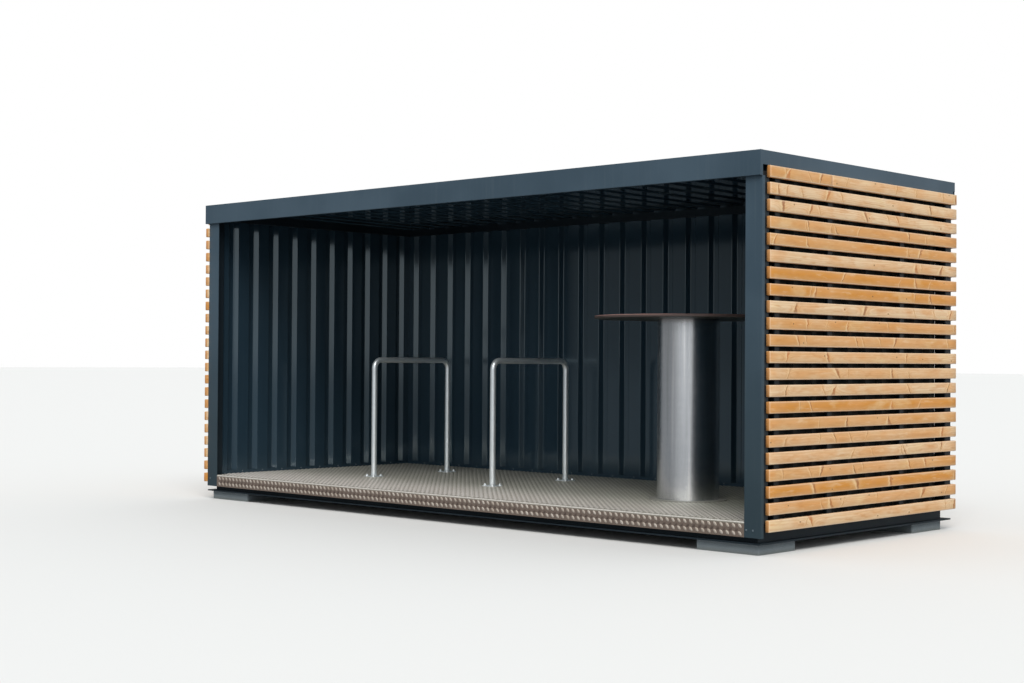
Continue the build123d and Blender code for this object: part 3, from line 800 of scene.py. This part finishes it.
def timber(name, run, faces, ends, joint=None):
    """Softwood as year rings round a pith near each board, with spike knots that the grain flows round.

    run names the axis along the boards. faces are the two sides across them, and ends the ends of
    a board. Every board draws its own pith, tone and knots by luck from its row and its side.
    """
    wood = Finish(name)
    along, deep = (wood.x, wood.y) if run == "x" else (wood.y, wood.x)
    lift = (wood.z - (board_low.z - (board_pitch - board_height) / 2)) / board_pitch
    row = lift.floor()
    across = (lift - row - 0.5) * board_pitch
    # One number for each board. Its factors only keep the boards' luck apart.
    board = row * 3.7 + (wood.x > 0.0) * 101.3 + faces[1] * 17.0
    if joint is not None:
        board = board + (along > joint) * (row > board_rows - 1.5) * (wood.x > 0.0) * 41.0
    first, second, third = wood.luck(board, 0.5, 0.5)

    def spike_knots(spacing, least, most, share, shift):
        """Slanted wedges across the board, in a share of the slots into which its run is cut.

        n is the distance from a wedge's leaning and bowed middle line over its half width, which
        is between least and most metres. Gives the core, solid up to n = 0.35 and gone at 1.15,
        the pale grain that bends round one side of it, exp(-1.1 (n + 1.45)^2), the halo,
        exp(-0.07 n^2), and a chance number for the core's colour.
        """
        slot = along / spacing + first * 13.0 + shift
        cell = slot.floor()
        place, lean, width = wood.luck(cell, board, shift)
        there, bow, colour = wood.luck(cell, board, shift + 0.5)
        east = (slot - cell - 0.2 - place * 0.6) * spacing
        line = across * (lean - 0.5) * 1.5 + across * across * (bow - 0.5) * 16.0
        wedge = (across / board_height * (bow - 0.5) * 3.6 + 0.75).maximum(0.12)
        wedge = wedge * (width * width * (most - least) + least)
        near = (east + line + (shake - 0.5) * 0.030) / wedge
        present = there < share
        core = abs(near).rise(1.15, 0.35) * present
        pale = near + 1.45
        pale = (pale * pale * -1.1).exponent() * present
        halo = (near * near * -0.07).exponent() * present
        return core, pale, halo, colour

    def pins(spacing, size, share, shift):
        """Small round knots, in a share of the slots into which the board's run is cut.

        With n the distance over the size, a knot is solid up to n = 0.7 and gone at 1.2, and its
        halo is exp(-0.6 n).
        """
        slot = along / spacing + second * 17.0 + shift
        cell = slot.floor()
        place, rise, there = wood.luck(cell, board, shift)
        east = (slot - cell - 0.2 - place * 0.6) * spacing
        north = across - (rise - 0.5) * board_height * 0.8
        near = (east * east * 0.5 + north * north).root() / size + (shake - 0.5) * 0.8
        return near.rise(1.2, 0.7) * (there < share), (near * -0.6).exponent() * (there < share)

    # Noise drawn apart for each board, slow along it and quicker across it.
    shake = wood.cloud(1.0, place=wood.point(along * 30.0, across * 55.0, board), detail=3.0)
    wander = wood.cloud(1.0, place=wood.point(along * 1.1, across * 3.0, board), detail=2.0)
    strand = wood.point(along * 9.0, across * 380.0, deep * 380.0 + board)
    fibre = wood.cloud(1.0, place=strand, detail=3.0)
    flame = wood.cloud(1.0, place=wood.point(along * 9.0, across * 46.0, board), detail=4.0)
    patch = wood.cloud(1.0, place=wood.point(along * 3.6, across * 8.0, board * 1.7), detail=3.0)
    blush = wood.cloud(1.0, place=wood.point(along * 2.3, across * 5.0, board * 2.9 + 5.0), detail=2.0)
    # Knots, and year rings round the pith that bend where the halo of a knot lies.
    year_width = 0.0062
    core, pale, halo, colour = spike_knots(0.44, 0.0090, 0.0240, 0.50, 3.0)
    core_2, pale_2, halo_2, colour_2 = spike_knots(0.29, 0.0055, 0.0110, 0.32, 9.0)
    pin, pin_halo = pins(0.40, 0.0048, 0.42, 5.0)
    pith_out = deep - faces[1] + 0.012 + first * 0.055
    pith_up = across + (second - 0.5) * 0.11 + along * (third - 0.5) * 0.035 + (wander - 0.5) * 0.07
    rings = (pith_out * pith_out + pith_up * pith_up).root() + (halo + halo_2 * 0.6 + pin_halo) * 0.010
    year = (rings / year_width + flame * 0.9) % 1.0
    late = year.rise(0.25, 0.8) * year.rise(1.0, 0.88)
    # The board's own tone, paler towards the roof, then patches, late wood, figure and fibres.
    height = wood.z.rise(0.1, 2.3)
    mood = (first * 1.45 + height * 0.46 + (blush - 0.5) * 1.3 - 0.50).maximum(0.0).minimum(1.0)
    tone = mood.between((0.745, 0.312, 0.044), (0.925, 0.680, 0.425))
    tone = (patch.rise(0.42, 0.66) * 0.55).between(tone, (0.83, 0.390, 0.125))
    tone = (patch.rise(0.46, 0.28) * 0.50).between(tone, (0.93, 0.680, 0.360))
    tone = (late * 0.26).between(tone, (0.62, 0.265, 0.078))
    tone = (flame.rise(0.50, 0.74) * 0.50).between(tone, (0.66, 0.280, 0.080))
    tone = (flame.rise(0.46, 0.24) * 0.45).between(tone, (0.92, 0.660, 0.400))
    tone = (fibre.rise(0.5, 0.8) * 0.10).between(tone, (0.45, 0.22, 0.085))
    # Warm halos, pale grain beside the spike knots, and the knots.
    halos = halo.maximum(halo_2 * 0.6).maximum(pin_halo * 0.8)
    tone = (halos * 0.45).between(tone, (0.82, 0.430, 0.145))
    tone = (pale.maximum(pale_2 * 0.7) * 0.58).between(tone, (0.97, 0.740, 0.420))
    tone = (core_2 * 0.55).between(tone, colour_2.between((0.62, 0.240, 0.060), (0.50, 0.190, 0.055)))
    tone = (core * 0.84).between(tone, colour.between((0.62, 0.190, 0.034), (0.36, 0.115, 0.028)))
    tone = (pin * 0.75).between(tone, (0.23, 0.090, 0.035))
    # Painted shade darkens a board towards its top and painted light brightens it towards its foot, and
    # its eased edges carry a painted highlight.
    top_edge_highlight = across.rise(board_height / 2 - 0.0090, board_height / 2 - 0.0050)
    low_edge_highlight = across.rise(board_height / -2 + 0.0080, board_height / -2 + 0.0045)
    outer = abs(deep).rise(faces[1] - 0.006, faces[1] - 0.004)
    # Painted shade towards the top, painted light towards the foot.
    tone = (across.rise(0.005, board_height / 2) * 0.30).between(tone, (0.46, 0.310, 0.185))
    tone = (across.rise(0.0, board_height / -2) * 0.28).between(tone, (0.99, 0.660, 0.360))
    # Painted highlight on the eased edges of the outer face.
    tone = ((top_edge_highlight * 0.26 + low_edge_highlight * 0.50) * outer).between(tone, (0.92, 0.75, 0.58))
    # Each end carries a painted highlight on its eased edge, behind its dark cut.
    from_end = ((along - ends[0]).minimum(along * -1.0 + ends[1])).maximum(0.0)
    if joint is not None:
        from_joint = (abs(along - joint) - 0.0015).maximum(0.0)
        top_row = (row > board_rows - 1.5) * (wood.x > 0.0)
        from_end = from_end.minimum(from_joint + (1.0 - top_row))
    # Painted highlight behind the end.
    tone = (from_end.rise(0.0110, 0.0060) * outer * 0.32).between(tone, (0.96, 0.78, 0.58))
    tone = (from_end.rise(0.0024, 0.0012) * 0.85).between(tone, (0.60, 0.260, 0.070))
    return wood.surface(
        bump=fibre * 0.4 - late * 0.25 - core * 0.3,
        bump_height=0.0004,
        Base_Color=tone,
        Roughness=0.56 + fibre * 0.14 - core * 0.10,
        Specular_IOR_Level=0.35,
    )


levels = board_low.z + board_height / 2 + np.arange(board_rows) * board_pitch
carrier_middle = -0.385
joint_offset = 0.020  # the joint of the top board on the right lies beside its upright's middle
joint_middle = carrier_middle - joint_offset
joint_gap = 0.003
fascia_clearance = 0.026  # from the front fascia's face to the top board on the left
right_timber = timber(
    "right_batten_timber", "y", (board_low.x, board_high.x), (board_low.y, board_high.y), joint_middle
)
starts = np.append(np.full(board_rows, board_low.y), joint_middle + joint_gap / 2)
ends = np.append(np.full(board_rows, board_high.y), board_high.y)
ends[board_rows - 1] = joint_middle - joint_gap / 2
right_levels = np.append(levels, levels[-1])
board_thickness = board_high.x - board_low.x
points, faces = boards(starts, ends, right_levels, board_high.x, board_thickness, seed=12)
points = points[:, [1, 0, 2]]
faces = [face[::-1] for face in faces]  # because the exchange of two axes turned them inwards
screen = new_piece("batten_boards_right", points, faces, right_timber)
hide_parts("battens_right")

left_timber = timber("left_batten_timber", "y", (-left_high.x, -left_low.x), (left_low.y, left_high.y))
starts = np.full(board_rows, left_low.y)
starts[-1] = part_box("fascia_front")[0].y + fascia_clearance
ends = np.full(board_rows, left_high.y)
points, faces = boards(starts, ends, levels, -left_low.x, left_high.x - left_low.x, seed=10)
points = points[:, [1, 0, 2]] * np.array([-1.0, 1.0, 1.0])
screen = new_piece("batten_boards_left", points, faces, left_timber)
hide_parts("battens_left")

back_low, back_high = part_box("battens_back")
back_timber = timber("back_batten_timber", "x", (back_low.y, back_high.y), (back_low.x, back_high.x))
starts = np.concatenate([np.full(board_rows, back_low.x), np.full(board_rows, joint_gap / 2)])
ends = np.concatenate([np.full(board_rows, -joint_gap / 2), np.full(board_rows, back_high.x)])
back_levels = np.tile(levels, 2)
points, faces = boards(starts, ends, back_levels, back_high.y, back_high.y - back_low.y, seed=29)
screen = new_piece("batten_boards_back", points, faces, back_timber)
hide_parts("battens_back")

# Bike hoops
# Bent steel tube welded on square foot plates and hot-dip galvanised.
# Each plate is bolted to the floor with four zinc-plated studs and nuts.
galvanised = Finish("galvanised_steel")
spangle = galvanised.luck(
    (galvanised.x * 95.0 + galvanised.cloud(30.0) * 6.0).floor(),
    (galvanised.y * 95.0 + galvanised.cloud(34.0) * 6.0).floor(),
    (galvanised.z * 95.0 + galvanised.cloud(26.0) * 6.0).floor(),
)[0]
galvanised_cloud = galvanised.cloud(14.0, detail=4.0)
zinc_bloom = spangle * 0.25 + galvanised_cloud * 0.75
hot_dip = galvanised.surface(
    bump=galvanised.cloud(160.0),
    bump_height=0.00015,
    Base_Color=zinc_bloom.between((0.76, 0.84, 0.88), (0.90, 0.95, 0.97)),
    Metallic=0.72,
    Roughness=0.30 + spangle * 0.03 + galvanised_cloud * 0.08,
)
dress(hot_dip, "hoop_")
zinc = Finish("zinc_screws")
zinc_fleck = zinc.cloud(700.0)
zinc_plated = zinc.surface(
    bump=zinc_fleck,
    bump_height=0.0001,
    Base_Color=zinc_fleck.between((0.70, 0.76, 0.79), (0.88, 0.92, 0.94)),
    Metallic=0.8,
    Roughness=0.34 + zinc_fleck * 0.15,
)
hoop_tube = 0.0424
stud_reach = 0.038
nut_radius = 0.0088
nut_height = 0.0115
foot_middles = []
for name in ("hoop_left", "hoop_right"):
    hoop_low, hoop_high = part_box(name)
    for y in (hoop_low.y + hoop_tube / 2, hoop_high.y - hoop_tube / 2):
        foot_middles.append(((hoop_low.x + hoop_high.x) / 2, y, hoop_low.z))
nut_places = []
for x, y, z in foot_middles:
    for east in (-stud_reach, stud_reach):
        for north in (-stud_reach, stud_reach):
            nut_places.append((x + east, y + north, z))
points, faces = screw_heads(nut_places, (0, 0, 1), nut_radius, nut_height)
new_piece("hoop_plate_nuts", points, faces, zinc_plated, crease=30.0)


def ring_solid(middles, profile, steps):
    """Turned rings: a profile's points (r, h) are carried once round an upright axis.

    Each becomes (r cos t, r sin t, h) from the ring's middle, t in equal steps.
    """
    t = np.arange(steps) * 2 * np.pi / steps
    around = np.stack([np.cos(t), np.sin(t), np.zeros(steps)], axis=1)
    radius, height = np.array(profile).T
    one = radius[:, None, None] * around[None] + height[:, None, None] * skyward
    rings = len(profile)
    points = np.asarray(middles)[:, None, None, :] + one[None]
    j, k = np.meshgrid(np.arange(rings - 1), np.arange(steps), indexing="ij")
    after = (k + 1) % steps
    low, high = j * steps, (j + 1) * steps
    quads = np.stack([low + k, low + after, high + after, high + k], axis=-1)
    first = np.arange(len(points)) * rings * steps
    faces = (first[:, None, None] + quads.reshape(1, -1, 4)).reshape(-1, 4)
    return points.reshape(-1, 3), faces.tolist()


stud_radius = 0.0045
stud_height = 0.0140
stud_chamfer = 0.0010
stud_end = [(stud_radius, 0.0), (stud_radius, stud_height - stud_chamfer)]
stud_end += [(stud_radius - 0.7 * stud_chamfer, stud_height), (0.4 * stud_chamfer, stud_height)]
points, faces = ring_solid(nut_places, stud_end, 10)
new_piece("hoop_plate_studs", points, faces, zinc_plated)
bead_section = ((0.0055, 0.0), (0.0045, 0.0022), (0.0018, 0.0042), (-0.0004, 0.0058))
bead = [(hoop_tube / 2 + out, up) for out, up in bead_section]
points, faces = ring_solid(foot_middles, bead, 32)
new_piece("hoop_weld_beads", points, faces, hot_dip)

# Standing table
# A rolled and brushed stainless column, welded on a foot disc that lies on the floor plate.
# It carries a round board, sealed reddish brown, with a painted highlight along its upper edge and
# painted shade on its underside.
column_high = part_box("table_column")[1]
brushed = Finish("brushed_stainless")
brush = brushed.cloud(1.0, stretch=(14.0, 14.0, 1500.0), detail=2.0)
brush_band = brushed.cloud(1.0, stretch=(3.0, 3.0, 60.0), detail=3.0)
rolled_marks_and_reflections = brushed.cloud(1.0, stretch=(46.0, 46.0, 0.7), detail=3.0)
smudge = brushed.cloud(5.0, detail=4.0)
steel_tone = brush_band.between((0.65, 0.675, 0.705), (0.75, 0.770, 0.795))
# Painted reflection: lighter and darker vertical bands follow the rolling marks.
steel_tone = (rolled_marks_and_reflections.rise(0.52, 0.72) * 0.50).between(steel_tone, (0.97, 0.98, 1.0))
steel_tone = (rolled_marks_and_reflections.rise(0.48, 0.28) * 0.30).between(steel_tone, (0.44, 0.47, 0.50))
# Painted shade, warm from the board, darkens the column's top under the board.
warm_shade_under_board = brushed.z.rise(column_high.z - 0.035, column_high.z) * 0.45
steel_tone = warm_shade_under_board.between(steel_tone, (0.30, 0.20, 0.14))
stainless = brushed.surface(
    bump=brush * 0.6 + rolled_marks_and_reflections * 0.8,
    bump_height=0.00035,
    Base_Color=steel_tone,
    Metallic=1.0,
    Roughness=0.17 + smudge * 0.08 + brush_band * 0.06,
)
dress(stainless, "table_column")

trodden = Finish("trodden_stainless")
trodden_dust = trodden.cloud(30.0, detail=5.0)
dress(
    trodden.surface(
        bump=trodden_dust,
        bump_height=0.0002,
        Base_Color=trodden_dust.between((0.27, 0.270, 0.245), (0.42, 0.415, 0.375)),
        Metallic=0.45,
        Roughness=0.46 + trodden_dust * 0.15,
    ),
    "table_foot",
)

top_low, top_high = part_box("table_top")
board_finish = Finish("sealed_table_board")
figure = board_finish.cloud(1.0, stretch=(2.2, 46.0, 46.0), detail=5.0)
grain = board_finish.cloud(1.0, stretch=(12.0, 420.0, 420.0), detail=3.0)
board_tone = figure.between((0.058, 0.043, 0.040), (0.108, 0.072, 0.064))
board_tone = (grain.rise(0.5, 0.8) * 0.3).between(board_tone, (0.10, 0.045, 0.032))
# Painted highlight along the upper edge of the rim, weaker towards the right.
rim_highlight = board_finish.z.rise(top_high.z - 0.0050, top_high.z - 0.0020)
rim_highlight_share = 0.75 - board_finish.x.rise(column_high.x - 0.05, column_high.x + 0.20) * 0.60
board_tone = (rim_highlight * rim_highlight_share).between(board_tone, (0.52, 0.295, 0.255))
# Painted shade darkens the underside.
underside = board_finish.z.rise(top_low.z + 0.0035, top_low.z + 0.0008)
board_tone = (underside * 0.92).between(board_tone, (0.030, 0.032, 0.024))
dress(
    board_finish.surface(
        bump=grain,
        bump_height=0.0002,
        Base_Color=board_tone,
        Roughness=0.34 + figure * 0.12,
    ),
    "table_top",
)
